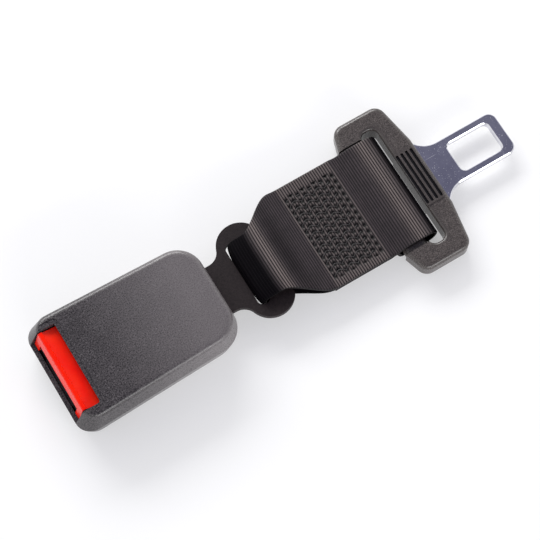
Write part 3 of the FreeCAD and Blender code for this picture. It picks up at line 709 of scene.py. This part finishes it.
def make_spring(name, node, axis, turns, material):
    """A round-wire coil in the box of a CAD spring."""
    low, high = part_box(node)
    centre = (low + high) / 2
    length = (high - low)[axis]
    wire = WIRE_RADIUS * MM
    radius = (high - low)[(axis + 1) % 3] / 2 - wire
    steps = turns * STEPS_PER_TURN
    path = []
    for i in range(steps + 1):
        angle = 2 * math.pi * i / STEPS_PER_TURN
        place = [0.0, 0.0, 0.0]
        place[axis] = low[axis] + wire + (length - 2 * wire) * i / steps
        place[(axis + 1) % 3] = centre[(axis + 1) % 3] + radius * math.cos(angle)
        place[(axis + 2) % 3] = centre[(axis + 2) % 3] + radius * math.sin(angle)
        path.append(place)
    curve = wire_curve(name, [path], wire, 2)
    bent = bpy.data.objects.new(name + "_curve", curve)
    bpy.context.scene.collection.objects.link(bent)
    bpy.context.view_layer.update()
    mesh = bpy.data.meshes.new_from_object(bent)
    bpy.data.objects.remove(bent)
    spring = bpy.data.objects.new(name, mesh)
    bpy.context.scene.collection.objects.link(spring)
    mesh.materials.append(material)
    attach(spring, "buckle")
    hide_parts(node)
    anchor = list(centre)
    anchor[axis] = high[axis]
    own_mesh(spring)


# Stage

def make_floor():
    """A plain pale floor that is part of the stage, not of the object."""
    mesh = bpy.data.meshes.new("floor")
    reach = 3.0
    corners = [(-reach, -reach, 0), (reach, -reach, 0), (reach, reach, 0), (-reach, reach, 0)]
    mesh.from_pydata(corners, [], [(0, 1, 2, 3)])
    floor = bpy.data.objects.new("floor", mesh)
    bpy.context.scene.collection.objects.link(floor)
    material = bpy.data.materials.new("PaleFloor")
    material.use_nodes = True
    shader = material.node_tree.nodes["Principled BSDF"]
    shader.inputs["Base Color"].default_value = (0.6, 0.6, 0.6, 1)
    shader.inputs["Roughness"].default_value = 0.6
    shader.inputs["Specular IOR Level"].default_value = 0.15
    shader.inputs["Emission Color"].default_value = (1, 1, 1, 1)
    shader.inputs["Emission Strength"].default_value = 0.4
    mesh.materials.append(material)


def softbox(name, place, size, power):
    """A rectangular lamp that faces the part."""
    light = bpy.data.lights.new(name, "AREA")
    light.shape = "RECTANGLE"
    light.size, light.size_y = size
    light.energy = power
    lamp = bpy.data.objects.new(name, light)
    bpy.context.scene.collection.objects.link(lamp)
    lamp.location = place
    toward_part = Vector((0, 0, 0.01)) - Vector(place)
    lamp.rotation_euler = toward_part.to_track_quat("-Z", "Y").to_euler()


def make_lights():
    """A white sky that darkens overhead, so that flat faces don't glare, and two lamps."""
    world = bpy.data.worlds.new("Studio")
    bpy.context.scene.world = world
    world.use_nodes = True
    tree = world.node_tree
    background = tree.nodes["Background"]
    place = tree.nodes.new("ShaderNodeTexCoord")
    toward_dark = tree.nodes.new("ShaderNodeVectorMath")
    toward_dark.operation = "DOT_PRODUCT"
    tree.links.new(place.outputs["Generated"], toward_dark.inputs[0])
    toward_dark.inputs[1].default_value = Vector((0.05, -0.28, 0.95)).normalized()
    ramp = tree.nodes.new("ShaderNodeValToRGB")
    ramp.color_ramp.elements[0].position = 0.4
    ramp.color_ramp.elements[0].color = (1, 1, 1, 1)
    ramp.color_ramp.elements[1].position = 0.82
    ramp.color_ramp.elements[1].color = (0.17, 0.17, 0.24, 1)
    tree.links.new(toward_dark.outputs["Value"], ramp.inputs["Fac"])
    tree.links.new(ramp.outputs["Color"], background.inputs["Color"])
    background.inputs["Strength"].default_value = 1.02
    softbox("KeyBox", (0.1, 0.95, 0.55), (1.0, 0.35), 11.0)
    softbox("SideBox", (0.0, -0.9, 0.3), (1.0, 0.25), 5.0)


def make_camera():
    elevation = math.radians(CAMERA_ELEVATION)
    azimuth = math.radians(CAMERA_AZIMUTH)
    back = Vector((math.sin(azimuth) * math.cos(elevation),
                   -math.cos(azimuth) * math.cos(elevation),
                   math.sin(elevation)))
    data = bpy.data.cameras.new("camera")
    data.sensor_width = CAMERA_SENSOR
    data.lens = CAMERA_LENS
    data.clip_start = 0.01
    data.clip_end = 20
    camera = bpy.data.objects.new("camera", data)
    bpy.context.scene.collection.objects.link(camera)
    camera.location = Vector(CAMERA_TARGET) + back * CAMERA_DISTANCE
    camera.rotation_mode = "QUATERNION"
    camera.rotation_quaternion = (-back).to_track_quat("-Z", "Y")
    bpy.context.scene.camera = camera


bpy.context.scene.view_settings.view_transform = "Standard"
paint_nodes()
spring_steel = plain_steel("SpringSteel", (150, 150, 152), 0.28)
make_webbing()
thread = sewing_thread()
make_stitching("needle_stitches", "needle_thread", 8.95, 1, thread)
make_stitching("bobbin_stitches", "bobbin_thread", 5.35, -1, thread)
make_spring("ejector_coil", "ejector_spring", 0, 9, spring_steel)
make_spring("button_coil_left", "button_spring_left", 0, 8, spring_steel)
make_spring("button_coil_right", "button_spring_right", 0, 8, spring_steel)
make_spring("latch_coil", "latch_spring", 2, 4, spring_steel)
make_floor()
make_lights()
make_camera()
